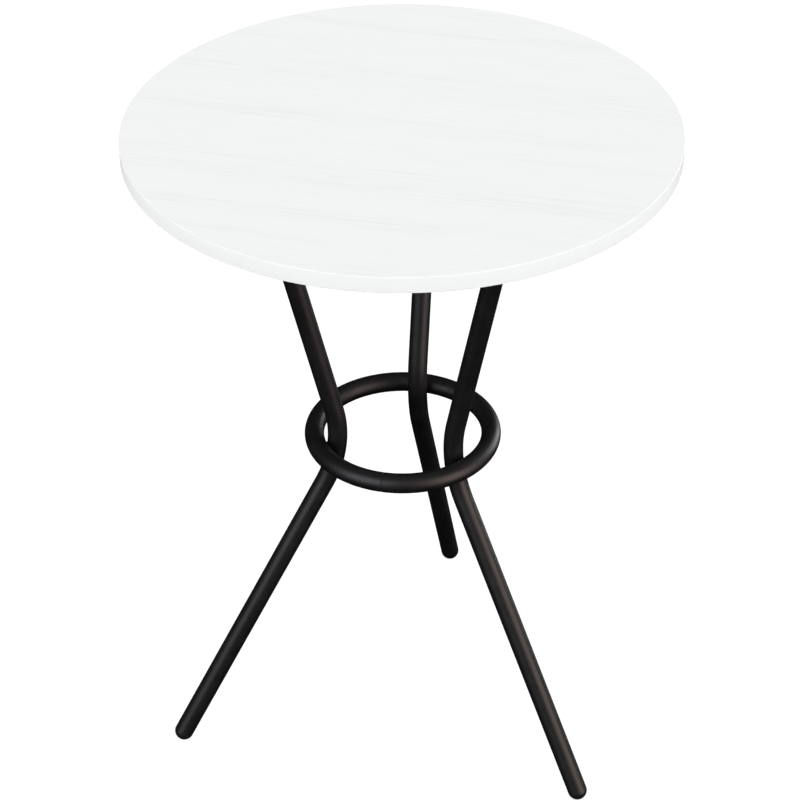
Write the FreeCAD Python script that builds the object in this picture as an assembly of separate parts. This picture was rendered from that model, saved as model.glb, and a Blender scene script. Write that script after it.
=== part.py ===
import FreeCAD, Part

import math
import os

# A round high table on three bent steel tube legs. Each leg leans inwards from the top to a
# waist, bends there and runs out to the floor. One tube ring goes round the three waists and
# is welded into the crooks of the bends. Millimetres, +Z up, origin on the floor under the
# middle of the top, rear leg on the +Y side.

# The table as a whole
TABLE_HEIGHT = 1050.0
TOP_DIAMETER = 800.0

# Tabletop: a board with laminate on both faces and a plastic band round its edge
TOP_THICKNESS = 25.0
LAMINATE_THICKNESS = 0.8
EDGE_BAND_THICKNESS = 2.0
EDGE_BAND_ROUNDING = 1.5
EDGE_BAND_JOINT = 0.2
EDGE_BAND_JOINT_AZIMUTH = 90.0

# Legs: one bent round tube each, in an upright plane through the middle of the table, spread
# evenly from the rear leg on. The straight axes above and below the bend would meet at the
# waist point. The top point is where the axis meets the underside of the top, and the foot
# point is the middle of the domed foot.
LEG_TUBE_DIAMETER = 30.0
LEG_TUBE_WALL = 2.0
LEG_BEND_RADIUS = 184.0
LEG_TOP_REACH = 212.0
LEG_WAIST_REACH = 92.2
LEG_WAIST_HEIGHT = 518.6
LEG_FOOT_REACH = 369.0
LEG_NAMES = ("rear", "left", "right")
REAR_LEG_AZIMUTH = 90.0

# Ring: one tube bent round and closed with a butt weld, which is ground just below the tube
RING_TUBE_DIAMETER = 30.0
RING_TUBE_WALL = 2.0
RING_HEIGHT = 525.0
RING_LEG_GAP = 0.3
RING_JOINT_WIDTH = 1.4
RING_JOINT_SINK = 0.15
RING_JOINT_AZIMUTH = 270.0

# Weld nugget that fills the gap round the closest point of a leg and the ring
NUGGET_WIDTH = 17.0
NUGGET_HEIGHT = 13.0

# Mounting plates on the tops of the legs, and the weld bead under each
PLATE_DIAMETER = 92.0
PLATE_THICKNESS = 4.0
PLATE_EDGE_ROUNDING = 0.6
PLATE_HOLE_CIRCLE = 67.0
PLATE_HOLE_COUNT = 4
PLATE_HOLE_START_ANGLE = 45.0
BEAD_SIZE = 4.0
BEAD_TOE = 0.4

# Button-head screws
SCREW_DIAMETER = 6.0
SCREW_LENGTH = 16.0
SCREW_TIP_CHAMFER = 0.8
SCREW_HEAD_DIAMETER = 10.5
SCREW_HEAD_HEIGHT = 3.3
SCREW_SOCKET_WIDTH = 4.0
SCREW_SOCKET_DEPTH = 2.1
SCREW_HOLE_CLEARANCE = 0.3

# Threaded inserts, screwed into blind holes in the board
INSERT_DIAMETER = 10.0
INSERT_LENGTH = 13.0
INSERT_RECESS = 0.5
INSERT_PITCH = 2.6
INSERT_THREAD_DEPTH = 0.8
INSERT_BORE_CLEARANCE = 0.05
INSERT_SOCKET_WIDTH = 7.0
INSERT_SOCKET_DEPTH = 3.0
INSERT_HOLE_CLEARANCE = 0.05
INSERT_HOLE_SPARE = 1.5

# Foot glides: domed plastic plugs pushed into the lower ends of the legs
GLIDE_SHOULDER_CHAMFER = 0.35
GLIDE_STEM_LENGTH = 30.0
GLIDE_STEM_CLEARANCE = 0.6
GLIDE_STEM_WALL = 2.4
GLIDE_RIB_COUNT = 4
GLIDE_RIB_HEIGHT = 2.0
GLIDE_RIB_CLEARANCE = 0.05

# One overrun serves every cutting tool
CUT_OVERRUN = 2.0

FULL_TURN = 360.0
HEXAGON_SIDES = 6

# Sizes that follow from the ones above
TOP_RADIUS = TOP_DIAMETER / 2
CORE_RADIUS = TOP_RADIUS - EDGE_BAND_THICKNESS
CORE_THICKNESS = TOP_THICKNESS - 2 * LAMINATE_THICKNESS
UNDERSIDE_HEIGHT = TABLE_HEIGHT - TOP_THICKNESS
PLATE_UNDERSIDE_HEIGHT = UNDERSIDE_HEIGHT - PLATE_THICKNESS
LEG_RADIUS = LEG_TUBE_DIAMETER / 2
LEG_BORE_RADIUS = LEG_RADIUS - LEG_TUBE_WALL
RING_TUBE_RADIUS = RING_TUBE_DIAMETER / 2
RING_SPACING = LEG_RADIUS + RING_LEG_GAP + RING_TUBE_RADIUS
LEG_STEP = FULL_TURN / len(LEG_NAMES)
LEG_AZIMUTHS = {
    name: REAR_LEG_AZIMUTH + index * LEG_STEP for index, name in enumerate(LEG_NAMES)
}

ORIGIN = FreeCAD.Vector(0, 0, 0)
UP = FreeCAD.Vector(0, 0, 1)
ACROSS = FreeCAD.Vector(0, 1, 0)


# Places and solids that several pieces share. Whatever belongs to one leg is made in the XZ
# plane, on the +X side, and turned to each leg's azimuth at the end.


def in_leg_plane(reach, height):
    """A point at a distance from the table's axis and a height above the floor."""
    return FreeCAD.Vector(reach, 0, height)


def turned(shape, azimuth):
    """A copy of a shape, turned about the table's axis."""
    copy = shape.copy()
    copy.rotate(ORIGIN, UP, azimuth)
    return copy


def fused(solids):
    """Solids joined into one."""
    return solids[0].fuse(solids[1:]).removeSplitter()


def circular_edges(solid):
    """The round edges of a solid."""
    return [edge for edge in solid.Edges if isinstance(edge.Curve, Part.Circle)]


def ellipse_face(centre, first_half, second_half):
    """A face inside the ellipse that has these two vectors as its half axes."""
    minor, major = sorted([first_half, second_half], key=lambda half: half.Length)
    ellipse = Part.Ellipse(centre + major, centre + minor, centre)
    return Part.Face(Part.Wire(ellipse.toShape()))


def hexagon_prism(width, height, base):
    """An upright six-sided prism of a width across its flats, standing on its base point."""
    step = math.tau / HEXAGON_SIDES
    corner_reach = width / 2 / math.cos(step / 2)
    corners = []
    for index in range(HEXAGON_SIDES + 1):
        angle = index * step
        corner = FreeCAD.Vector(math.cos(angle), math.sin(angle), 0) * corner_reach
        corners.append(base + corner)
    return Part.Face(Part.makePolygon(corners)).extrude(UP * height)


def above(height):
    """A block that holds everything over a height."""
    corner = FreeCAD.Vector(-TOP_RADIUS, -TOP_RADIUS, height)
    return Part.makeBox(TOP_DIAMETER, TOP_DIAMETER, TABLE_HEIGHT, corner)


# The line of a leg: a straight, an arc and a straight, tangent to each other

LEG_TOP = in_leg_plane(LEG_TOP_REACH, UNDERSIDE_HEIGHT)
LEG_WAIST = in_leg_plane(LEG_WAIST_REACH, LEG_WAIST_HEIGHT)
LEG_FOOT = in_leg_plane(LEG_FOOT_REACH, LEG_RADIUS)
UP_RUN = (LEG_TOP - LEG_WAIST).normalize()
DOWN_RUN = (LEG_FOOT - LEG_WAIST).normalize()
LEG_TURN = math.pi - UP_RUN.getAngle(DOWN_RUN)
BEND_TOP = LEG_WAIST + UP_RUN * (LEG_BEND_RADIUS * math.tan(LEG_TURN / 2))
BEND_FOOT = LEG_WAIST + DOWN_RUN * (LEG_BEND_RADIUS * math.tan(LEG_TURN / 2))
BEND_CENTRE = LEG_WAIST + (UP_RUN + DOWN_RUN).normalize() * (
    LEG_BEND_RADIUS / math.cos(LEG_TURN / 2)
)


def rod_along_leg(radius, foot_overrun=0):
    """A solid rod along the line of a leg, run on past the top by one tube diameter."""
    upper_length = (LEG_TOP - BEND_TOP).Length + LEG_TUBE_DIAMETER
    lower_length = (LEG_FOOT - BEND_FOOT).Length + foot_overrun
    upper = Part.makeCylinder(radius, upper_length, BEND_TOP, UP_RUN)
    lower = Part.makeCylinder(radius, lower_length, BEND_FOOT, DOWN_RUN)
    section = Part.Face(Part.Wire(Part.makeCircle(radius, BEND_TOP, UP_RUN)))
    bend = section.revolve(BEND_CENTRE, ACROSS * -1, math.degrees(LEG_TURN))
    return fused([upper, bend, lower])


def beside_leg(height, spacing):
    """The point at a height that lies outside the line of a leg at a spacing from it, and the
    direction from it square to the leg."""
    upper_normal = (BEND_CENTRE - BEND_TOP).normalize()
    lower_normal = (BEND_CENTRE - BEND_FOOT).normalize()
    upper_end = BEND_TOP + upper_normal * spacing
    lower_end = BEND_FOOT + lower_normal * spacing
    if height > upper_end.z:
        point = upper_end + UP_RUN * ((height - upper_end.z) / UP_RUN.z)
        return point, upper_normal * -1
    if height < lower_end.z:
        point = lower_end + DOWN_RUN * ((height - lower_end.z) / DOWN_RUN.z)
        return point, lower_normal * -1
    rise = height - BEND_CENTRE.z
    inwards = math.sqrt((LEG_BEND_RADIUS - spacing) ** 2 - rise**2)
    point = BEND_CENTRE + FreeCAD.Vector(-inwards, 0, rise)
    return point, (point - BEND_CENTRE).normalize()


RING_CENTRE, RING_TO_LEG = beside_leg(RING_HEIGHT, RING_SPACING)
RING_REACH = RING_CENTRE.x


# Tabletop


def screw_places():
    """Where the screws of one leg go, seen from above."""
    step = FULL_TURN / PLATE_HOLE_COUNT
    places = []
    for index in range(PLATE_HOLE_COUNT):
        angle = math.radians(PLATE_HOLE_START_ANGLE + index * step)
        across = FreeCAD.Vector(math.cos(angle), math.sin(angle), 0)
        places.append(in_leg_plane(LEG_TOP_REACH, 0) + across * (PLATE_HOLE_CIRCLE / 2))
    return places


def insert_holes():
    """Cutters for the blind holes of all the inserts, each deep enough for the insert and for
    the tip of its screw."""
    reach = max(INSERT_RECESS + INSERT_LENGTH, SCREW_LENGTH - PLATE_THICKNESS)
    depth = reach + INSERT_HOLE_SPARE
    radius = INSERT_DIAMETER / 2 + INSERT_HOLE_CLEARANCE
    cutters = []
    for azimuth in LEG_AZIMUTHS.values():
        for place in screw_places():
            start = place + UP * (UNDERSIDE_HEIGHT - CUT_OVERRUN)
            hole = Part.makeCylinder(radius, depth + CUT_OVERRUN, start)
            cutters.append(turned(hole, azimuth))
    return cutters


def tabletop_disc(radius, thickness, height):
    """A disc about the table's axis that starts at a height, its seam at the edge band's
    joint."""
    disc = Part.makeCylinder(radius, thickness, FreeCAD.Vector(0, 0, height))
    return turned(disc, EDGE_BAND_JOINT_AZIMUTH)


def tabletop_core():
    """The board, drilled from below for the inserts."""
    start = UNDERSIDE_HEIGHT + LAMINATE_THICKNESS
    return tabletop_disc(CORE_RADIUS, CORE_THICKNESS, start).cut(insert_holes())


def underside_laminate():
    """The lower laminate, drilled together with the board."""
    sheet = tabletop_disc(CORE_RADIUS, LAMINATE_THICKNESS, UNDERSIDE_HEIGHT)
    return sheet.cut(insert_holes())


def top_laminate():
    """The laminate that people see and use."""
    start = TABLE_HEIGHT - LAMINATE_THICKNESS
    return tabletop_disc(CORE_RADIUS, LAMINATE_THICKNESS, start)


def edge_band():
    """The edge band, with rounded outer corners and a hairline between its two ends."""
    outer = tabletop_disc(TOP_RADIUS, TOP_THICKNESS, UNDERSIDE_HEIGHT)
    outer = outer.makeFillet(EDGE_BAND_ROUNDING, circular_edges(outer))
    cutter_start = UNDERSIDE_HEIGHT - CUT_OVERRUN
    cutter_height = TOP_THICKNESS + 2 * CUT_OVERRUN
    inner = tabletop_disc(CORE_RADIUS, cutter_height, cutter_start)
    hairline = Part.makeBox(
        EDGE_BAND_THICKNESS + 2 * CUT_OVERRUN,
        EDGE_BAND_JOINT,
        cutter_height,
        FreeCAD.Vector(CORE_RADIUS - CUT_OVERRUN, -EDGE_BAND_JOINT / 2, cutter_start),
    )
    return outer.cut([inner, turned(hairline, EDGE_BAND_JOINT_AZIMUTH)])


# Frame: legs, ring and mounting plates


def leg_tube():
    """One bent leg, cut level under its plate and square at the foot."""
    bore = rod_along_leg(LEG_BORE_RADIUS, CUT_OVERRUN)
    return rod_along_leg(LEG_RADIUS).cut([bore, above(PLATE_UNDERSIDE_HEIGHT)])


def ring_sweep(radius, start_azimuth, sweep):
    """A round section carried about the table's axis along the ring."""
    section = Part.Face(Part.Wire(Part.makeCircle(radius, RING_CENTRE, ACROSS)))
    return turned(section.revolve(ORIGIN, UP, sweep), start_azimuth)


def ring_tube(radius, wall, start_azimuth, sweep):
    """A hollow stretch of the ring."""
    outer = ring_sweep(radius, start_azimuth, sweep)
    return outer.cut(ring_sweep(radius - wall, start_azimuth, sweep))


def brace_ring():
    """The ring, open by the width of its butt weld."""
    gap = math.degrees(RING_JOINT_WIDTH / RING_REACH)
    start = RING_JOINT_AZIMUTH + gap / 2
    return ring_tube(RING_TUBE_RADIUS, RING_TUBE_WALL, start, FULL_TURN - gap)


def ring_butt_weld():
    """The weld that closes the ring."""
    gap = math.degrees(RING_JOINT_WIDTH / RING_REACH)
    start = RING_JOINT_AZIMUTH - gap / 2
    wall = RING_TUBE_WALL - RING_JOINT_SINK
    return ring_tube(RING_TUBE_RADIUS - RING_JOINT_SINK, wall, start, gap)


def ring_weld():
    """The nugget between a leg and the ring, shaped by both tubes."""
    half_width = ACROSS * (NUGGET_WIDTH / 2)
    half_height = ACROSS.cross(RING_TO_LEG) * (NUGGET_HEIGHT / 2)
    face = ellipse_face(RING_CENTRE, half_width, half_height)
    nugget = face.extrude(RING_TO_LEG * RING_SPACING)
    ring = ring_sweep(RING_TUBE_RADIUS, FULL_TURN / 2, FULL_TURN)
    return nugget.cut([rod_along_leg(LEG_RADIUS), ring])


def mounting_plate():
    """The round plate on top of a leg, with its screw holes."""
    centre = in_leg_plane(LEG_TOP_REACH, PLATE_UNDERSIDE_HEIGHT)
    plate = Part.makeCylinder(PLATE_DIAMETER / 2, PLATE_THICKNESS, centre)
    plate = plate.makeFillet(PLATE_EDGE_ROUNDING, circular_edges(plate))
    radius = SCREW_DIAMETER / 2 + SCREW_HOLE_CLEARANCE
    height = PLATE_THICKNESS + 2 * CUT_OVERRUN
    start = UP * (PLATE_UNDERSIDE_HEIGHT - CUT_OVERRUN)
    holes = [Part.makeCylinder(radius, height, place + start) for place in screw_places()]
    return plate.cut(holes)


def plate_weld():
    """The weld bead round the top of a leg: a flared ring between the level section of the
    tube one bead below the plate and a wider one at the plate."""

    def level_section(height, margin):
        centre = LEG_TOP - UP_RUN * ((UNDERSIDE_HEIGHT - height) / UP_RUN.z)
        reach_half = FreeCAD.Vector(LEG_RADIUS / UP_RUN.z + margin, 0, 0)
        return ellipse_face(centre, reach_half, ACROSS * (LEG_RADIUS + margin)).OuterWire

    toe = level_section(PLATE_UNDERSIDE_HEIGHT - BEAD_SIZE, BEAD_TOE)
    root = level_section(PLATE_UNDERSIDE_HEIGHT, BEAD_SIZE)
    return Part.makeLoft([toe, root], True, True).cut(rod_along_leg(LEG_RADIUS))


# Fasteners


def plate_screw(place):
    """One screw, pointing up: a domed head with a hexagon socket and a plain shank in place
    of its thread."""
    seat = place + UP * PLATE_UNDERSIDE_HEIGHT
    shank = Part.makeCylinder(SCREW_DIAMETER / 2, SCREW_LENGTH, seat)
    tip = [edge for edge in circular_edges(shank) if edge.Curve.Center.z > seat.z]
    shank = shank.makeChamfer(SCREW_TIP_CHAMFER, tip)
    half = SCREW_HEAD_DIAMETER / 2
    dome_radius = (half**2 + SCREW_HEAD_HEIGHT**2) / (2 * SCREW_HEAD_HEIGHT)
    dome = Part.makeSphere(dome_radius, seat + UP * (dome_radius - SCREW_HEAD_HEIGHT))
    crown = seat - UP * SCREW_HEAD_HEIGHT
    head = dome.common(Part.makeCylinder(half, SCREW_HEAD_HEIGHT, crown))
    socket = hexagon_prism(
        SCREW_SOCKET_WIDTH, SCREW_SOCKET_DEPTH + CUT_OVERRUN, crown - UP * CUT_OVERRUN
    )
    return fused([head, shank]).cut(socket)


def threaded_insert(place):
    """One insert: ridges for its outer thread, a hexagon socket in its mouth and a plain bore
    in place of its inner thread."""
    base = place + UP * (UNDERSIDE_HEIGHT + INSERT_RECESS)
    crest = FreeCAD.Vector(INSERT_DIAMETER / 2, 0, 0)
    root = crest - FreeCAD.Vector(INSERT_THREAD_DEPTH, 0, 0)
    ridges = max(1, round(INSERT_LENGTH / INSERT_PITCH))
    pitch = UP * (INSERT_LENGTH / ridges)
    outline = [base]
    for index in range(ridges):
        outline.append(base + root + pitch * index)
        outline.append(base + crest + pitch * index + pitch / 2)
    outline.append(base + root + UP * INSERT_LENGTH)
    outline.append(base + UP * INSERT_LENGTH)
    outline.append(base)
    body = Part.Face(Part.makePolygon(outline)).revolve(base, UP, FULL_TURN)
    bore_radius = SCREW_DIAMETER / 2 + INSERT_BORE_CLEARANCE
    start = base - UP * CUT_OVERRUN
    bore = Part.makeCylinder(bore_radius, INSERT_LENGTH + 2 * CUT_OVERRUN, start)
    socket = hexagon_prism(INSERT_SOCKET_WIDTH, INSERT_SOCKET_DEPTH + CUT_OVERRUN, start)
    return body.cut([bore, socket])


def group_of(make):
    """The like fasteners of one leg, as separate solids."""
    return Part.makeCompound([make(place) for place in screw_places()])


# Feet


def foot_glide():
    """The plug in the lower end of a leg: a half ball as wide as the tube, with a small
    chamfer where the two meet, and a hollow stem with grip ribs."""
    inwards = DOWN_RUN * -1
    stem_radius = LEG_BORE_RADIUS - GLIDE_STEM_CLEARANCE
    rib_radius = LEG_BORE_RADIUS - GLIDE_RIB_CLEARANCE
    shoulder_start = LEG_FOOT - inwards * (2 * GLIDE_SHOULDER_CHAMFER)
    shoulder = Part.makeCone(
        LEG_RADIUS + GLIDE_SHOULDER_CHAMFER,
        LEG_RADIUS - GLIDE_SHOULDER_CHAMFER,
        2 * GLIDE_SHOULDER_CHAMFER,
        shoulder_start,
        inwards,
    )
    below = Part.makeCylinder(LEG_TUBE_DIAMETER, LEG_TUBE_DIAMETER, shoulder_start, DOWN_RUN)
    dome = Part.makeSphere(LEG_RADIUS, LEG_FOOT).common(shoulder.fuse(below))
    stem = Part.makeCylinder(stem_radius, GLIDE_STEM_LENGTH, LEG_FOOT, inwards)
    step = GLIDE_STEM_LENGTH / (GLIDE_RIB_COUNT + 1)
    ribs = []
    for index in range(GLIDE_RIB_COUNT):
        start = LEG_FOOT + inwards * (step * (index + 1) - GLIDE_RIB_HEIGHT / 2)
        ribs.append(Part.makeCylinder(rib_radius, GLIDE_RIB_HEIGHT, start, inwards))
    hollow = Part.makeCylinder(
        stem_radius - GLIDE_STEM_WALL, GLIDE_STEM_LENGTH + CUT_OVERRUN, LEG_FOOT, inwards
    )
    return fused([dome, stem] + ribs).cut(hollow)


# Writing the pieces


def write(node, shape):
    """Writes one node's file, once its solids are sound, and prints what it holds."""
    solids = shape.Solids
    if not solids or not all(solid.isValid() for solid in solids):
        raise ValueError(node + " has no sound solids")
    kept = solids[0] if len(solids) == 1 else Part.makeCompound(solids)
    kept.exportStep("parts/" + node + ".step")
    volume = sum(solid.Volume for solid in solids)
    print(f"{node}: {len(solids)} solid(s), {volume:.1f} mm3")


def main():
    os.makedirs("parts", exist_ok=True)
    write("tabletop_core", tabletop_core())
    write("top_laminate", top_laminate())
    write("underside_laminate", underside_laminate())
    write("edge_band", edge_band())
    write("brace_ring", brace_ring())
    write("ring_butt_weld", ring_butt_weld())
    pieces_of_a_leg = {
        "leg": leg_tube(),
        "foot_glide": foot_glide(),
        "ring_weld": ring_weld(),
        "plate_weld": plate_weld(),
        "mounting_plate": mounting_plate(),
        "plate_screws": group_of(plate_screw),
        "threaded_inserts": group_of(threaded_insert),
    }
    for side, azimuth in LEG_AZIMUTHS.items():
        for piece, shape in pieces_of_a_leg.items():
            write(side + "_" + piece, turned(shape, azimuth))
    print(f"ring axis {RING_REACH:.2f} mm from the table's axis")


main()
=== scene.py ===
import math

import bpy
import numpy as np
from mathutils import Matrix, Vector


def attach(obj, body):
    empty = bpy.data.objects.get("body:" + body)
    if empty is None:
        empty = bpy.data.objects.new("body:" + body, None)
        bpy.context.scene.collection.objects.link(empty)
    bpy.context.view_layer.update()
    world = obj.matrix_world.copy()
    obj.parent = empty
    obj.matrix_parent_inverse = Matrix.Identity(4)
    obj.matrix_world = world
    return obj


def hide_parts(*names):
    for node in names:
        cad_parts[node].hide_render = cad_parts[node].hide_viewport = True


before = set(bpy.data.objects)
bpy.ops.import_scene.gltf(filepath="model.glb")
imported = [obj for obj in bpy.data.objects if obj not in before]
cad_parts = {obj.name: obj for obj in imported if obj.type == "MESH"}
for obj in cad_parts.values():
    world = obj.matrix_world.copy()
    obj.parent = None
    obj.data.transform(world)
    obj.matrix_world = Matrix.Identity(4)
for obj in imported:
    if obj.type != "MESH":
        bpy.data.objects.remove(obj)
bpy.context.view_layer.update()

# Board inside the tabletop. Chipboard: flakes of wood pressed with resin and sanded, so its
# faces are a jumble of pale and brown flakes a few millimetres long. It is drilled from below
# for the inserts, and laminate and edge band cover all of it.

MM = 0.001
CHIP_LENGTH = 4.5 * MM
CHIP_COLOURS = ("B5925F", "CDAE7B", "9C7846", "DCC597")


def paint(code):
    """Linear red, green, blue and alpha of an sRGB hex colour."""
    srgb = np.array([int(code[start:start + 2], 16) for start in (0, 2, 4)]) / 255
    linear = np.where(srgb <= 0.04045, srgb / 12.92, ((srgb + 0.055) / 1.055) ** 2.4)
    return (*linear, 1.0)


def add(tree, kind, settings, inputs):
    """A new node. Settings are its own properties, and inputs are what goes into its sockets:
    another node's output, or a constant."""
    node = tree.nodes.new("ShaderNode" + kind)
    for name, value in settings.items():
        setattr(node, name, value)
    for socket, source in inputs.items():
        if isinstance(source, bpy.types.NodeSocket):
            tree.links.new(source, node.inputs[socket])
        else:
            node.inputs[socket].default_value = source
    return node


def blank_finish(name):
    """A material with no nodes yet, its node tree, and its object coordinates in metres."""
    material = bpy.data.materials.new(name)
    material.use_nodes = True
    tree = material.node_tree
    tree.nodes.clear()
    return material, tree, add(tree, "TexCoord", {}, {}).outputs["Object"]


def ramp(tree, factor, stops):
    """A colour ramp over a factor, through (position, hex colour) stops."""
    node = add(tree, "ValToRGB", {}, {"Fac": factor})
    elements = node.color_ramp.elements
    while len(elements) < len(stops):
        elements.new(1.0)
    for element, (position, code) in zip(elements, stops):
        element.position = position
        element.color = paint(code)
    return node.outputs["Color"]


def finished(tree, settings, height=None, relief=0.0):
    """Ends a material: its surface from shader sockets, and a bump whose full height is the
    relief in metres."""
    if height is not None:
        bump = add(tree, "Bump", {}, {"Strength": 1.0, "Distance": relief, "Height": height})
        settings = {**settings, "Normal": bump.outputs["Normal"]}
    surface = add(tree, "BsdfPrincipled", {}, settings)
    add(tree, "OutputMaterial", {}, {"Surface": surface.outputs["BSDF"]})


def dress(node, material):
    """Gives a CAD node's mesh its finish."""
    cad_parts[node].data.materials.clear()
    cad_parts[node].data.materials.append(material)


# Chipboard: dull and rough, each flake a shade of its own, with fine pits between them.
chipboard, tree, place = blank_finish("chipboard_sanded")
flakes = add(tree, "TexVoronoi", {}, {"Vector": place, "Scale": 1 / CHIP_LENGTH})
shade = add(tree, "SeparateColor", {}, {"Color": flakes.outputs["Color"]})
last_colour = len(CHIP_COLOURS) - 1
stops = [(step / last_colour, code) for step, code in enumerate(CHIP_COLOURS)]
finished(
    tree,
    {"Base Color": ramp(tree, shade.outputs["Red"], stops), "Roughness": 0.85, "IOR": 1.45},
    flakes.outputs["Distance"],
    relief=0.1 * MM,
)
dress("tabletop_core", chipboard)

# Threaded inserts, four to a leg, screwed into the board from below and sunk a little. Turned
# from brass bar, so the cutting tool left fine rings on them.

TURNING_PITCH = 0.5 * MM
TARNISH_SPOT = 2.5 * MM
RADIANS_IN_WAVE_UNIT = 20

# Bare brass: a warm metal, softly shiny. The real rings are about 0.1 mm apart, too fine to
# show, so they are drawn at 0.5 mm. The wave node turns 20 radians in a unit of its scale.
brass, tree, place = blank_finish("brass_turned")
wave_scale = math.tau / (RADIANS_IN_WAVE_UNIT * TURNING_PITCH)
rings = add(
    tree,
    "TexWave",
    {"wave_type": "BANDS", "bands_direction": "Z"},
    {"Vector": place, "Scale": wave_scale, "Distortion": 0.4},
)
tarnish = add(tree, "TexNoise", {}, {"Vector": place, "Scale": 1 / TARNISH_SPOT, "Detail": 3.0})
finished(
    tree,
    {
        "Base Color": ramp(tree, tarnish.outputs["Fac"], [(0.3, "C9A24E"), (0.7, "DDBB6A")]),
        "Metallic": 1.0,
        "Roughness": 0.3,
    },
    rings.outputs["Fac"],
    relief=0.02 * MM,
)
for side in ("rear", "left", "right"):
    dress(side + "_threaded_inserts", brass)

# Laminate on both faces of the board: paper printed with a pale wood grain, under melamine
# resin, pressed hot against a sheet that leaves the grain in it. The upper sheet is made new
# as one smooth disc, and the lower one is the CAD sheet with its drilled holes.

TABLE_HEIGHT = 1050 * MM
TOP_RADIUS = 400 * MM
TOP_THICKNESS = 25 * MM
LAMINATE_THICKNESS = 0.8 * MM
EDGE_BAND_THICKNESS = 2 * MM
BOARD_RADIUS = TOP_RADIUS - EDGE_BAND_THICKNESS
TOP_COLUMNS = 720
DISC_STEPS = 8
SAME_PLACE_DECIMALS = 8
SHARP_EDGE = math.radians(32)
FIBRE_LENGTH = 120 * MM
FIBRE_WIDTH = 4.5 * MM
VEIN_LENGTH = 250 * MM
VEIN_WIDTH = 4.2 * MM
VEIN_STRENGTH = 0.45
VEIN_BAND_LENGTH = 1600 * MM
VEIN_BAND_WIDTH = 45 * MM
GRAIN_WANDER = 15 * MM
GRAIN_WANDER_LENGTH = 1000 / 3 * MM


def around(count):
    """Angles of a full turn in equal steps."""
    return np.linspace(0, math.tau, count, endpoint=False)


def revolved(profile, columns):
    """The surface of a profile turned about an upright axis: the profile's (radius, height)
    pairs are the rows, and the angles of a full turn are the columns."""
    radius, height = np.asarray(profile, float).T
    angle = around(columns)
    return np.stack(
        [
            radius[:, None] * np.cos(angle),
            radius[:, None] * np.sin(angle),
            height[:, None] + 0 * angle,
        ],
        axis=-1,
    )


def closed_skin(name, points, wrap_rows=False):
    """A closed mesh over a grid of points (row, column, place). Every point is joined to the
    next of its row and of its column. The columns run full circle, and the rows do where
    asked. Points in one place become one vertex, so a row drawn together closes as a pole.
    The sign of the enclosed volume tells which way the faces look, and turns them outwards."""
    rows, columns = points.shape[:2]
    index = np.arange(rows * columns).reshape(rows, columns)
    index = np.hstack([index, index[:, :1]])
    if wrap_rows:
        index = np.vstack([index, index[:1]])
    corners = [index[:-1, :-1], index[:-1, 1:], index[1:, 1:], index[1:, :-1]]
    corners = np.stack(corners, axis=-1).reshape(-1, 4)
    places = np.round(points.reshape(-1, 3), SAME_PLACE_DECIMALS)
    places, merged = np.unique(places, axis=0, return_inverse=True)
    corners = merged.reshape(-1)[corners]
    first, second, third, fourth = (places[corners[:, corner]] for corner in range(4))
    volume = np.sum(first * np.cross(second, third)) + np.sum(first * np.cross(third, fourth))
    if volume < 0:
        corners = corners[:, ::-1]
    repeated = corners == np.roll(corners, -1, axis=1)
    quads = corners[~repeated.any(axis=1)]
    tapered = repeated.sum(axis=1) == 1
    triangles = corners[tapered][~repeated[tapered]].reshape(-1, 3)
    mesh = bpy.data.meshes.new(name)
    mesh.from_pydata(places, [], quads.tolist() + triangles.tolist())
    mesh.shade_smooth()
    mesh.set_sharp_from_angle(angle=SHARP_EDGE)
    return mesh


def fit(name, mesh, material, node):
    """Puts a new piece in the place of a CAD node, on the table's one body."""
    mesh.materials.append(material)
    piece = bpy.data.objects.new(name, mesh)
    bpy.context.scene.collection.objects.link(piece)
    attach(piece, "root")
    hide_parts(node)


# Melamine laminate: an almost white matt face. Printed fibres run along X: fine ones all
# over, and darker ones gathered in long bands that hardly wander. Real fibres are about
# 0.3 mm wide, too fine to show, so they are drawn 2 to 4 mm wide.
laminate, tree, place = blank_finish("melamine_laminate_wood_print")
wander = add(
    tree, "TexNoise", {}, {"Vector": place, "Scale": 1 / GRAIN_WANDER_LENGTH, "Detail": 1.0}
)
drift = add(
    tree,
    "VectorMath",
    {"operation": "MULTIPLY_ADD"},
    {0: wander.outputs["Color"], 1: (0.0, GRAIN_WANDER, 0.0), 2: place},
).outputs["Vector"]


def streaks(length, width, seed, detail):
    """Noise drawn out along the grain, in streaks of a length and a width in metres. The seed
    is how many of them the pattern is shifted by, both along and across."""
    drawn = add(
        tree,
        "Mapping",
        {},
        {"Vector": drift, "Location": (seed, seed, 0), "Scale": (1 / length, 1 / width, 1)},
    )
    noise = add(
        tree, "TexNoise", {}, {"Vector": drawn.outputs["Vector"], "Scale": 1.0, "Detail": detail}
    )
    return noise.outputs["Fac"]


fibres = streaks(FIBRE_LENGTH, FIBRE_WIDTH, seed=3.0, detail=2.0)
bands = streaks(VEIN_BAND_LENGTH, VEIN_BAND_WIDTH, seed=141.24, detail=1.0)
veins = streaks(VEIN_LENGTH, VEIN_WIDTH, seed=52.5, detail=3.0)
gathered = add(
    tree,
    "MapRange",
    {"interpolation_type": "SMOOTHSTEP"},
    {"Value": bands, "From Min": 0.45, "From Max": 0.62},
).outputs["Result"]
dark_veins = add(
    tree,
    "MapRange",
    {"interpolation_type": "SMOOTHSTEP"},
    {"Value": veins, "From Min": 0.38, "From Max": 0.66},
).outputs["Result"]
grain = add(tree, "Math", {"operation": "MULTIPLY"}, {0: gathered, 1: dark_veins})
figure = add(
    tree,
    "Math",
    {"operation": "MULTIPLY_ADD"},
    {0: grain.outputs["Value"], 1: VEIN_STRENGTH, 2: fibres},
).outputs["Value"]
print_colour = ramp(tree, figure, [(0.3, "EEF0EF"), (0.7, "EBEDEC"), (1.0, "E8EAE9")])
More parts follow.
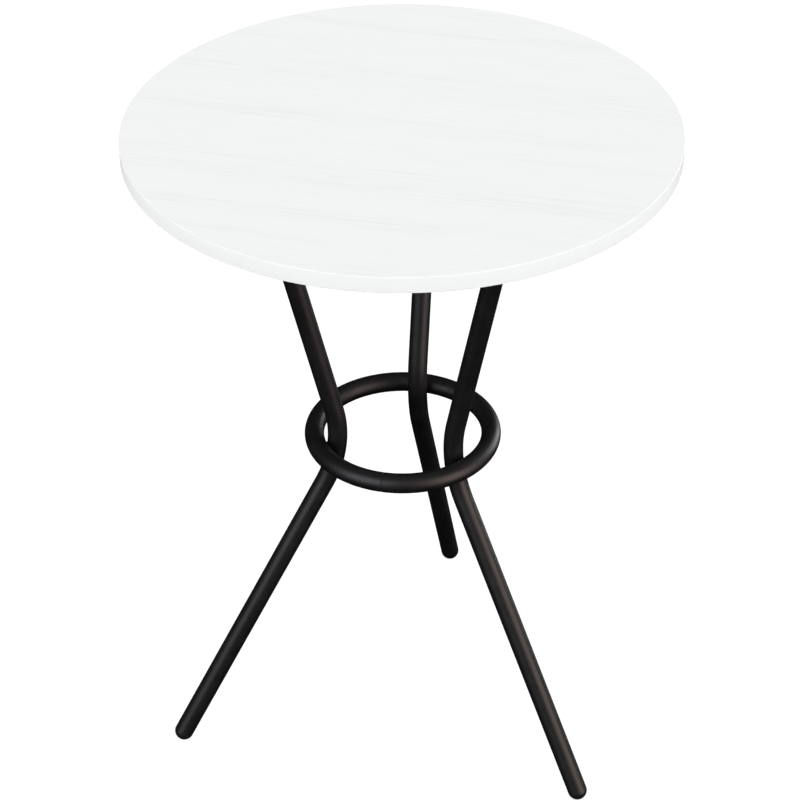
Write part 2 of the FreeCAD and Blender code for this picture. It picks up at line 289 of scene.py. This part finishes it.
finished(
    tree,
    {
        "Base Color": print_colour,
        "Roughness": 0.6,
        "IOR": 1.5,
        "Specular IOR Level": 0.08,
    },
    fibres,
    relief=0.05 * MM,
)

laminate_underside = TABLE_HEIGHT - LAMINATE_THICKNESS
disc_radii = np.linspace(0, BOARD_RADIUS, DISC_STEPS + 1)
disc_profile = [(radius, laminate_underside) for radius in disc_radii]
disc_profile += [(radius, TABLE_HEIGHT) for radius in disc_radii[::-1]]
fit(
    "top_laminate_sheet",
    closed_skin("top_laminate_sheet", revolved(disc_profile, TOP_COLUMNS)),
    laminate,
    "top_laminate",
)
dress("underside_laminate", laminate)

# Edge band: a strip of white plastic, extruded, glued round the board with its ends butted at
# the rear, then trimmed with a cutter that rounds its two outer corners.

EDGE_ROUNDING = 1.5 * MM
EDGE_JOINT = 0.2 * MM
EDGE_JOINT_AZIMUTH = math.radians(90)
ROUNDING_STEPS = 8
EXTRUSION_LINE_LENGTH = 1000 / 3 * MM
EXTRUSION_LINE_SPACING = 1.5 * MM


def corner_arc(centre, radius, start, end, steps):
    """Points of an arc about a centre, between two angles in degrees."""
    angle = np.radians(np.linspace(start, end, steps + 1))
    return np.stack(
        [centre[0] + radius * np.cos(angle), centre[1] + radius * np.sin(angle)], axis=-1
    )


def carried_round(profile, start, end, steps):
    """The surface of a closed profile of (radius, height) pairs, carried about the table's
    axis from one azimuth to another. A row drawn to the profile's middle closes each end."""
    angle = np.linspace(start, end, steps + 1)[:, None]
    radius, height = profile.T
    rows = np.stack(
        [radius * np.cos(angle), radius * np.sin(angle), height + 0 * angle], axis=-1
    )
    middle = np.broadcast_to(rows.mean(axis=1, keepdims=True), rows.shape)
    return np.concatenate([middle[:1], rows, middle[-1:]])


# ABS: white and matt, a shade greyer than the laminate. Extrusion leaves faint lines along
# the strip, drawn 1.5 mm apart because the real ones are too fine to show.
edging, tree, place = blank_finish("abs_edging_extruded")
lines_along, lines_up = 1 / EXTRUSION_LINE_LENGTH, 1 / EXTRUSION_LINE_SPACING
drawn = add(
    tree, "Mapping", {}, {"Vector": place, "Scale": (lines_along, lines_along, lines_up)}
)
lines = add(
    tree, "TexNoise", {}, {"Vector": drawn.outputs["Vector"], "Scale": 1.0, "Detail": 2.0}
)
finished(
    tree,
    {
        "Base Color": ramp(tree, lines.outputs["Fac"], [(0.3, "E7E9E8"), (0.7, "E9EBEA")]),
        "Roughness": 0.5,
        "Specular IOR Level": 0.08,
    },
    lines.outputs["Fac"],
    relief=0.02 * MM,
)

band_bottom = TABLE_HEIGHT - TOP_THICKNESS
upper_corner = (TOP_RADIUS - EDGE_ROUNDING, TABLE_HEIGHT - EDGE_ROUNDING)
lower_corner = (TOP_RADIUS - EDGE_ROUNDING, band_bottom + EDGE_ROUNDING)
band_profile = np.vstack(
    [
        [(BOARD_RADIUS, band_bottom)],
        corner_arc(lower_corner, EDGE_ROUNDING, -90, 0, ROUNDING_STEPS),
        corner_arc(upper_corner, EDGE_ROUNDING, 0, 90, ROUNDING_STEPS),
        [(BOARD_RADIUS, TABLE_HEIGHT)],
    ]
)
half_joint = EDGE_JOINT / 2 / TOP_RADIUS
fit(
    "edge_band_strip",
    closed_skin(
        "edge_band_strip",
        carried_round(
            band_profile,
            EDGE_JOINT_AZIMUTH + half_joint,
            EDGE_JOINT_AZIMUTH + math.tau - half_joint,
            TOP_COLUMNS,
        ),
    ),
    edging,
    "edge_band",
)

# Legs: three pieces of round steel tube, each bent once on a mandrel, cut level under its
# plate and square at the foot. Welded to plates and ring, then powder coated black together.

LEG_RADIUS = 15 * MM
TUBE_WALL = 2 * MM
LEG_BEND_RADIUS = 184 * MM
LEG_TOP = np.array([212 * MM, 0, TABLE_HEIGHT - TOP_THICKNESS])
LEG_WAIST = np.array([92.2 * MM, 0, 518.6 * MM])
LEG_FOOT = np.array([369 * MM, 0, LEG_RADIUS])
PLATE_THICKNESS = 4 * MM
PLATE_UNDERSIDE = TABLE_HEIGHT - TOP_THICKNESS - PLATE_THICKNESS
LEG_AZIMUTHS = {"rear": 90, "left": 210, "right": 330}
UPPER_RUN_STEPS = 8
BEND_STEPS = 40
LOWER_RUN_STEPS = 12
TUBE_COLUMNS = 96
COAT_PATCH = 25 * MM
ORANGE_PEEL = 2.5 * MM
ACROSS = np.array([0.0, 1.0, 0.0])


def toward(start, end):
    """The unit direction from one point to another."""
    return (end - start) / np.linalg.norm(end - start)


up_run = toward(LEG_WAIST, LEG_TOP)
down_run = toward(LEG_WAIST, LEG_FOOT)
leg_turn = math.pi - math.acos(up_run @ down_run)
bend_top = LEG_WAIST + up_run * LEG_BEND_RADIUS * math.tan(leg_turn / 2)
bend_foot = LEG_WAIST + down_run * LEG_BEND_RADIUS * math.tan(leg_turn / 2)
bend_centre = LEG_WAIST + toward(LEG_WAIST, LEG_WAIST + up_run + down_run) * (
    LEG_BEND_RADIUS / math.cos(leg_turn / 2)
)


def turned(points, azimuth):
    """Points of a leg's own plane, where X is the reach, turned to the leg's azimuth."""
    angle = math.radians(azimuth)
    cosine, sine = math.cos(angle), math.sin(angle)
    spin = np.array([[cosine, sine, 0], [-sine, cosine, 0], [0, 0, 1]])
    return points @ spin


def leg_wall(radius):
    """One wall of the bent tube, from its level cut at the top to its square cut at the foot.
    A ring of points about the axis is carried down the upper run, round the bend and down
    the lower run. On the upper run each point starts where its own line meets the cut."""
    angle = around(TUBE_COLUMNS)[:, None]

    def ring_about(centre, normal):
        """A circle of points: the cosine goes along the normal, and the sine across it."""
        return centre + radius * (np.cos(angle) * normal + np.sin(angle) * ACROSS)

    upper_start = ring_about(bend_top, toward(bend_centre, bend_top))
    climb = (PLATE_UNDERSIDE - upper_start[:, 2:]) / up_run[2]
    upper = [
        upper_start + up_run * climb * share for share in np.linspace(1, 0, UPPER_RUN_STEPS + 1)
    ]
    outwards = toward(bend_centre, bend_top)
    bend = []
    for share in np.linspace(0, 1, BEND_STEPS + 1)[1:]:
        swing = leg_turn * share
        normal = outwards * math.cos(swing) - up_run * math.sin(swing)
        bend.append(ring_about(bend_centre + normal * LEG_BEND_RADIUS, normal))
    normal = toward(bend_centre, bend_foot)
    lower = [
        ring_about(bend_foot + (LEG_FOOT - bend_foot) * share, normal)
        for share in np.linspace(0, 1, LOWER_RUN_STEPS + 1)[1:]
    ]
    return np.stack(upper + bend + lower)


def baked_coat(name, smoothest, roughest, stops):
    """Powder coat. Noise in patches of 25 mm wanders between two shades and two roughnesses,
    and finer noise raises the orange peel, about 1 mm across and drawn at 2.5 mm."""
    material, tree, place = blank_finish(name)
    peel = add(
        tree,
        "TexNoise",
        {},
        {"Vector": place, "Scale": 1 / ORANGE_PEEL, "Detail": 2.0, "Roughness": 0.5},
    )
    patches = add(tree, "TexNoise", {}, {"Vector": place, "Scale": 1 / COAT_PATCH, "Detail": 2.0})
    gloss = add(
        tree,
        "MapRange",
        {},
        {"Value": patches.outputs["Fac"], "To Min": smoothest, "To Max": roughest},
    )
    finished(
        tree,
        {
            "Base Color": ramp(tree, patches.outputs["Fac"], stops),
            "Roughness": gloss.outputs["Result"],
            "IOR": 1.5,
        },
        peel.outputs["Fac"],
        relief=0.03 * MM,
    )
    return material


# Powder coat: black polyester sprayed as powder and baked. Satin rather than glossy, so its
# highlights are wide and soft, and the orange peel breaks them up a little.
powder_coat = baked_coat(
    "polyester_powder_coat_satin",
    smoothest=0.42,
    roughest=0.52,
    stops=[(0.35, "0B0A0A"), (0.65, "0F0E0E")],
)

leg_skin = np.concatenate([leg_wall(LEG_RADIUS), leg_wall(LEG_RADIUS - TUBE_WALL)[::-1]])
for side, azimuth in LEG_AZIMUTHS.items():
    name = side + "_leg_tube"
    fit(
        name,
        closed_skin(name, turned(leg_skin, azimuth), wrap_rows=True),
        powder_coat,
        side + "_leg",
    )

# Ring: a tube rolled into a circle round the three waists. Its two ends are chamfered a
# little, welded together at the front, and the weld is ground just below the tube.

RING_HEIGHT = 525 * MM
RING_LEG_GAP = 0.3 * MM
RING_JOINT_WIDTH = 1.4 * MM
RING_JOINT_SINK = 0.15 * MM
RING_JOINT_AZIMUTH = math.radians(270)
RING_END_CHAMFER = 0.35 * MM
RING_ROWS = 288

# The ring's axis lies outside the bend's, by both tubes' radii and the gap.
axis_to_bend_centre = LEG_BEND_RADIUS - 2 * LEG_RADIUS - RING_LEG_GAP
ring_rise = RING_HEIGHT - bend_centre[2]
ring_radius = bend_centre[0] - math.sqrt(axis_to_bend_centre**2 - ring_rise**2)


def ring_wall(azimuths, radii):
    """One wall of the ring: at each azimuth, a circle about the ring's axis. The radii are one
    for all, one for each azimuth, or one for each azimuth and point."""
    angle = around(TUBE_COLUMNS)
    azimuths = azimuths[:, None]
    reach = ring_radius + radii * np.cos(angle)
    return np.stack(
        [
            reach * np.cos(azimuths),
            reach * np.sin(azimuths),
            RING_HEIGHT + radii * np.sin(angle) + 0 * azimuths,
        ],
        axis=-1,
    )


half_gap = RING_JOINT_WIDTH / 2 / ring_radius
ring_start = RING_JOINT_AZIMUTH + half_gap
ring_end = RING_JOINT_AZIMUTH + math.tau - half_gap
chamfer_turn = RING_END_CHAMFER / ring_radius
ring_azimuths = np.concatenate(
    [
        [ring_start],
        np.linspace(ring_start + chamfer_turn, ring_end - chamfer_turn, RING_ROWS),
        [ring_end],
    ]
)
ring_radii = np.full((len(ring_azimuths), 1), LEG_RADIUS)
ring_radii[[0, -1]] -= RING_END_CHAMFER
ring_skin = np.concatenate(
    [
        ring_wall(ring_azimuths, ring_radii),
        ring_wall(ring_azimuths[::-1], LEG_RADIUS - TUBE_WALL),
    ]
)
fit(
    "brace_ring_tube",
    closed_skin("brace_ring_tube", ring_skin, wrap_rows=True),
    powder_coat,
    "brace_ring",
)

# Butt weld that closes the ring at the front: a narrow run of weld metal, ground by hand into
# small flats just below the tube and coated with the rest. It shows as a thin dark line, partly
# from its sunk flats and partly from painted shade: its coat is a touch darker than the tube's.

SEAM_ROWS = 7
SEAM_FLATS = 24
SEAM_EDGE_DROP = 0.25 * MM

# Coat on weld metal: it lies over grinding marks and ripples, so it is duller than on tube. Its
# two shades are a touch darker than the tube's coat, which is painted shade for the sunk seam;
# the nuggets and plate beads wear the same coat.
weld_coat_with_painted_shade = baked_coat(
    "polyester_powder_coat_on_weld_painted_shade",
    smoothest=0.62,
    roughest=0.75,
    stops=[(0.35, "090808"), (0.65, "0C0B0B")],
)

seam_azimuths = np.linspace(ring_end - math.tau, ring_start, SEAM_ROWS)
crown = LEG_RADIUS - RING_JOINT_SINK - SEAM_EDGE_DROP * np.linspace(-1, 1, SEAM_ROWS) ** 2
flat = math.tau / SEAM_FLATS
from_flat_middle = around(TUBE_COLUMNS) % flat - flat / 2
ground_radii = crown[:, None] * math.cos(flat / 2) / np.cos(from_flat_middle)
seam_skin = np.concatenate(
    [
        ring_wall(seam_azimuths, ground_radii),
        ring_wall(seam_azimuths[::-1], LEG_RADIUS - TUBE_WALL),
    ]
)
fit(
    "ring_seam_weld",
    closed_skin("ring_seam_weld", seam_skin, wrap_rows=True),
    weld_coat_with_painted_shade,
    "ring_butt_weld",
)

# Welds between legs and ring. Each leg lies in the ring with a hair's gap, which weld metal
# fills round the closest point. Each is a lens between the two tubes with a hollow, rippled
# side, and the ripples are where the arc paused.

NUGGET_HALF_WIDTH = 8.5 * MM
NUGGET_HALF_HEIGHT = 6.5 * MM
NUGGET_RIPPLES = 26
WELD_HOLLOW = 0.45 * MM
RIPPLE_DEPTH = 0.15 * MM
COLUMNS_IN_RIPPLE = 8
NUGGET_FACE_STEPS = 5
NUGGET_SIDE_STEPS = 8
HALVINGS = 40

ring_point = np.array([ring_radius, 0, RING_HEIGHT])
to_leg = toward(bend_centre, ring_point)
upright = np.cross(ACROSS, to_leg)


def beyond_ring(points):
    """How far points lie outside the ring's surface: their distance from the circle of its
    axis, less the tube's radius."""
    reach = np.hypot(points[..., 0], points[..., 1]) - ring_radius
    return np.hypot(reach, points[..., 2] - RING_HEIGHT) - LEG_RADIUS


def beyond_bend(points):
    """The same for the bend of the leg that lies in the XZ plane."""
    places = points - bend_centre
    reach = np.hypot(places[..., 0], places[..., 2]) - LEG_BEND_RADIUS
    return np.hypot(reach, places[..., 1]) - LEG_RADIUS


def surface_between(inside, outside, beyond):
    """Where the ways from inner to outer points leave a surface, found by halving them."""
    for _ in range(HALVINGS):
        middle = (inside + outside) / 2
        clear = beyond(middle)[..., None] > 0
        inside, outside = np.where(clear, inside, middle), np.where(clear, middle, outside)
    return (inside + outside) / 2


def rippled(side, columns, count):
    """How deep a weld's side lies at shares of its way from toe to toe: a sine that is deepest
    halfway, deeper still by the ripples, whose crests lean forwards up the side."""
    crests = np.cos(count * around(columns) + math.pi * side[:, None])
    return np.sin(math.pi * side)[:, None] * (WELD_HOLLOW + RIPPLE_DEPTH * (1 - crests) / 2)


nugget_columns = NUGGET_RIPPLES * COLUMNS_IN_RIPPLE
angle = around(nugget_columns)[:, None]
rim = NUGGET_HALF_WIDTH * np.cos(angle) * ACROSS + NUGGET_HALF_HEIGHT * np.sin(angle) * upright
rim_share = np.linspace(0, 1, NUGGET_FACE_STEPS + 1)[:, None, None]
on_ring_axis = ring_point + rim_share * rim
on_leg_axis = on_ring_axis + to_leg * (2 * LEG_RADIUS + RING_LEG_GAP)
ring_face = surface_between(on_ring_axis, on_leg_axis, beyond_ring)
leg_face = surface_between(on_leg_axis, on_ring_axis, beyond_bend)
side = np.linspace(0, 1, NUGGET_SIDE_STEPS + 1)[1:-1]
straight_side = ring_face[-1] + (leg_face[-1] - ring_face[-1]) * side[:, None, None]
inwards = -rim / np.linalg.norm(rim, axis=1, keepdims=True)
hollow_side = straight_side + rippled(side, nugget_columns, NUGGET_RIPPLES)[..., None] * inwards
nugget_skin = np.concatenate([ring_face, hollow_side, leg_face[::-1]])
for leg, azimuth in LEG_AZIMUTHS.items():
    name = leg + "_ring_nugget"
    fit(
        name,
        closed_skin(name, turned(nugget_skin, azimuth)),
        weld_coat_with_painted_shade,
        leg + "_ring_weld",
    )

# Mounting plates: round blanks cut from sheet steel with a burr-free edge and four holes, each
# held on its leg by a weld bead all round. The beads flare from the tube out to the plate.

BEAD_SIZE = 4 * MM
BEAD_TOE = 0.4 * MM
BEAD_RIPPLES = 48
BEAD_STEPS = 10


def level_rings(heights, margins):
    """Level rings round the leg in the XZ plane: at each height the ellipse in which a level
    plane cuts the tube, wider all round by a margin."""
    angle = around(margins.shape[1])
    middle = LEG_TOP - up_run * ((LEG_TOP[2] - heights[:, None]) / up_run[2])
    return np.stack(
        [
            middle[:, :1] + (LEG_RADIUS / up_run[2] + margins) * np.cos(angle),
            (LEG_RADIUS + margins) * np.sin(angle),
            heights[:, None] + 0 * angle,
        ],
        axis=-1,
    )


bead_columns = BEAD_RIPPLES * COLUMNS_IN_RIPPLE
side = np.linspace(0, 1, BEAD_STEPS + 1)
flare = BEAD_TOE + (BEAD_SIZE - BEAD_TOE) * side[:, None]
bead_heights = PLATE_UNDERSIDE - BEAD_SIZE * (1 - side)
bead_skin = np.concatenate(
    [
        level_rings(bead_heights, flare - rippled(side, bead_columns, BEAD_RIPPLES)),
        level_rings(bead_heights[::-1], np.zeros((len(side), bead_columns))),
    ]
)
for leg, azimuth in LEG_AZIMUTHS.items():
    dress(leg + "_mounting_plate", powder_coat)
    name = leg + "_plate_bead"
    fit(
        name,
        closed_skin(name, turned(bead_skin, azimuth), wrap_rows=True),
        weld_coat_with_painted_shade,
        leg + "_plate_weld",
    )

# Feet: domed plugs pushed into the tube ends until a small shoulder meets the cut. Moulded
# in polyethylene, with a hollow stem and four grip ribs that hold them inside the bore.

SHOULDER_CHAMFER = 0.35 * MM
STEM_LENGTH = 30 * MM
STEM_RADIUS = 12.4 * MM
STEM_WALL = 2.4 * MM
RIB_RADIUS = 12.95 * MM
RIB_COUNT = 4
RIB_HEIGHT = 2 * MM
DOME_STEPS = 24
MOTTLE_SPOT = 5 / 3 * MM
SCUFF_UNEVENNESS = 2 * MM
SCUFF_START = 1 * MM
SCUFF_END = 2.6 * MM

# Polyethylene: black, a little shinier than the coat, with grey scuffs where it stands.
glide_plastic, tree, place = blank_finish("polyethylene_moulded")
height = add(tree, "SeparateXYZ", {}, {"Vector": place}).outputs["Z"]
mottle = add(tree, "TexNoise", {}, {"Vector": place, "Scale": 1 / MOTTLE_SPOT, "Detail": 3.0})
lifted = add(
    tree,
    "Math",
    {"operation": "MULTIPLY_ADD"},
    {0: mottle.outputs["Fac"], 1: SCUFF_UNEVENNESS, 2: height},
)
scuff = add(
    tree,
    "MapRange",
    {},
    {"Value": lifted.outputs["Value"], "From Min": SCUFF_START, "From Max": SCUFF_END},
)
finished(
    tree,
    {
        "Base Color": ramp(tree, scuff.outputs["Result"], [(0.0, "3A3938"), (1.0, "141414")]),
        "Roughness": 0.4,
        "IOR": 1.5,
    },
    mottle.outputs["Fac"],
    relief=0.02 * MM,
)

dome_start = math.degrees(math.asin(SHOULDER_CHAMFER / LEG_RADIUS))
dome = corner_arc((0, 0), LEG_RADIUS, 90, dome_start, DOME_STEPS)
dome[0, 0] = 0
rib_step = STEM_LENGTH / (RIB_COUNT + 1)
stem = [(LEG_RADIUS - SHOULDER_CHAMFER, 0), (STEM_RADIUS, 0)]
for index in range(RIB_COUNT):
    rib_start = -rib_step * (index + 1) + RIB_HEIGHT / 2
    stem += [(STEM_RADIUS, rib_start), (RIB_RADIUS, rib_start)]
    stem += [(RIB_RADIUS, rib_start - RIB_HEIGHT), (STEM_RADIUS, rib_start - RIB_HEIGHT)]
stem += [(STEM_RADIUS, -STEM_LENGTH), (STEM_RADIUS - STEM_WALL, -STEM_LENGTH)]
stem += [(STEM_RADIUS - STEM_WALL, 0), (0, 0)]
glide = revolved(np.vstack([dome, stem]), TUBE_COLUMNS)
foot_side = np.cross(ACROSS, down_run)
glide_skin = LEG_FOOT + glide @ np.stack([foot_side, ACROSS, down_run])
for side, azimuth in LEG_AZIMUTHS.items():
    name = side + "_foot_plug"
    fit(
        name,
        closed_skin(name, turned(glide_skin, azimuth)),
        glide_plastic,
        side + "_foot_glide",
    )

# Screws: button heads with a hexagon socket, four to a plate, driven up into the inserts. Cold
# formed from steel wire and dipped in a bath that blackens them. They keep their CAD shape.

OXIDE_SPOT = 2 * MM

# Black oxide: a dark metal with a soft shine and a faint unevenness.
black_steel, tree, place = blank_finish("steel_black_oxide")
oxide = add(tree, "TexNoise", {}, {"Vector": place, "Scale": 1 / OXIDE_SPOT, "Detail": 3.0})
finished(
    tree,
    {
        "Base Color": ramp(tree, oxide.outputs["Fac"], [(0.3, "29292B"), (0.7, "363638")]),
        "Metallic": 1.0,
        "Roughness": 0.36,
    },
    oxide.outputs["Fac"],
    relief=0.01 * MM,
)
for side in LEG_AZIMUTHS:
    dress(side + "_plate_screws", black_steel)

# Studio: a plain pale floor, wide soft lights, and the camera that took the picture. Sizes
# and places are in metres, and powers in watts.

FLOOR_RADIUS = 14
FLOOR_THICKNESS = 0.02
FLOOR_COLUMNS = 64
LIGHT_AIM = Vector((0, 0, 0.5))

pale_floor, tree, place = blank_finish("painted_floor_pale")
finished(
    tree,
    {
        "Base Color": paint("8C8C8C"),
        "Roughness": 0.9,
        "Specular IOR Level": 0.0,
        "Emission Color": paint("FFFFFF"),
        "Emission Strength": 0.85,
    },
)
floor_underside = -FLOOR_THICKNESS
floor_profile = [(0, floor_underside), (FLOOR_RADIUS, floor_underside), (FLOOR_RADIUS, 0), (0, 0)]
floor_mesh = closed_skin("floor", revolved(floor_profile, FLOOR_COLUMNS))
floor_mesh.materials.append(pale_floor)
floor = bpy.data.objects.new("floor", floor_mesh)
bpy.context.scene.collection.objects.link(floor)
floor.visible_glossy = False
floor.visible_diffuse = False


def softbox(name, place, width, height, power, colour):
    """A tall area light that faces the table. It shows in the gloss of things only."""
    light = bpy.data.lights.new(name, "AREA")
    light.shape = "RECTANGLE"
    light.size = width
    light.size_y = height
    light.energy = power
    light.color = paint(colour)[:3]
    lamp = bpy.data.objects.new(name, light)
    bpy.context.scene.collection.objects.link(lamp)
    lamp.location = place
    facing = LIGHT_AIM - lamp.location
    lamp.rotation_euler = facing.to_track_quat("-Z", "Y").to_euler()
    lamp.visible_diffuse = False


softbox(
    "cool_softbox", (-4.2, -7.1, 4.2), width=6.6, height=9.0, power=640, colour="F4F3FF"
)
softbox("warm_softbox", (7.0, -2.9, 2.2), width=7.0, height=8.4, power=630, colour="FFE9E2")
softbox("rim_softbox", (4.8, 5.8, 1.2), width=3.6, height=3.6, power=260, colour="FFFFFF")

# Air: soft white light from all round. It is strongest just over the floor and a little
# stronger from the right, weaker from overhead, and faint from below, where the floor is.
air = bpy.data.worlds.new("studio_air")
air.use_nodes = True
tree = air.node_tree
tree.nodes.clear()
direction = add(tree, "TexCoord", {}, {}).outputs["Generated"]
heading = add(tree, "SeparateXYZ", {}, {"Vector": direction})
rise = add(
    tree, "MapRange", {}, {"Value": heading.outputs["Z"], "From Min": -1.0, "From Max": 1.0}
)
glow = ramp(
    tree,
    rise.outputs["Result"],
    [(0.40, "505050"), (0.47, "FFFFFF"), (0.60, "FFFFFF"), (0.72, "9A9A9A")],
)
strength = add(
    tree,
    "MapRange",
    {},
    {
        "Value": heading.outputs["X"],
        "From Min": -1.0,
        "From Max": 1.0,
        "To Min": 2.62,
        "To Max": 2.8,
    },
)
sky = add(tree, "Background", {}, {"Color": glow, "Strength": strength.outputs["Result"]})
add(tree, "OutputWorld", {}, {"Surface": sky.outputs["Background"]})
bpy.context.scene.world = air
air.cycles_visibility.glossy = False
bpy.context.scene.view_settings.view_transform = "Standard"

CAMERA_PLACE = Vector((0.7254449, -3.1834808, 2.8283804))
CAMERA_AIM = Vector((-0.0039924, -0.0009098, 0.5826789))
CAMERA_ROLL = math.radians(-0.23415)
CAMERA_SENSOR_WIDTH = 36
CAMERA_FOCAL_LENGTH = 117.462

ahead = (CAMERA_AIM - CAMERA_PLACE).normalized()
level = ahead.cross(Vector((0, 0, 1))).normalized()
upwards = level.cross(ahead)
right_hand = level * math.cos(CAMERA_ROLL) + upwards * math.sin(CAMERA_ROLL)
upwards = upwards * math.cos(CAMERA_ROLL) - level * math.sin(CAMERA_ROLL)
camera_data = bpy.data.cameras.new("camera")
camera_data.sensor_width = CAMERA_SENSOR_WIDTH
camera_data.lens = CAMERA_FOCAL_LENGTH
camera = bpy.data.objects.new("camera", camera_data)
bpy.context.scene.collection.objects.link(camera)
camera.matrix_world = Matrix.Translation(CAMERA_PLACE) @ Matrix(
    (right_hand, upwards, -ahead)
).transposed().to_4x4()
bpy.context.scene.camera = camera
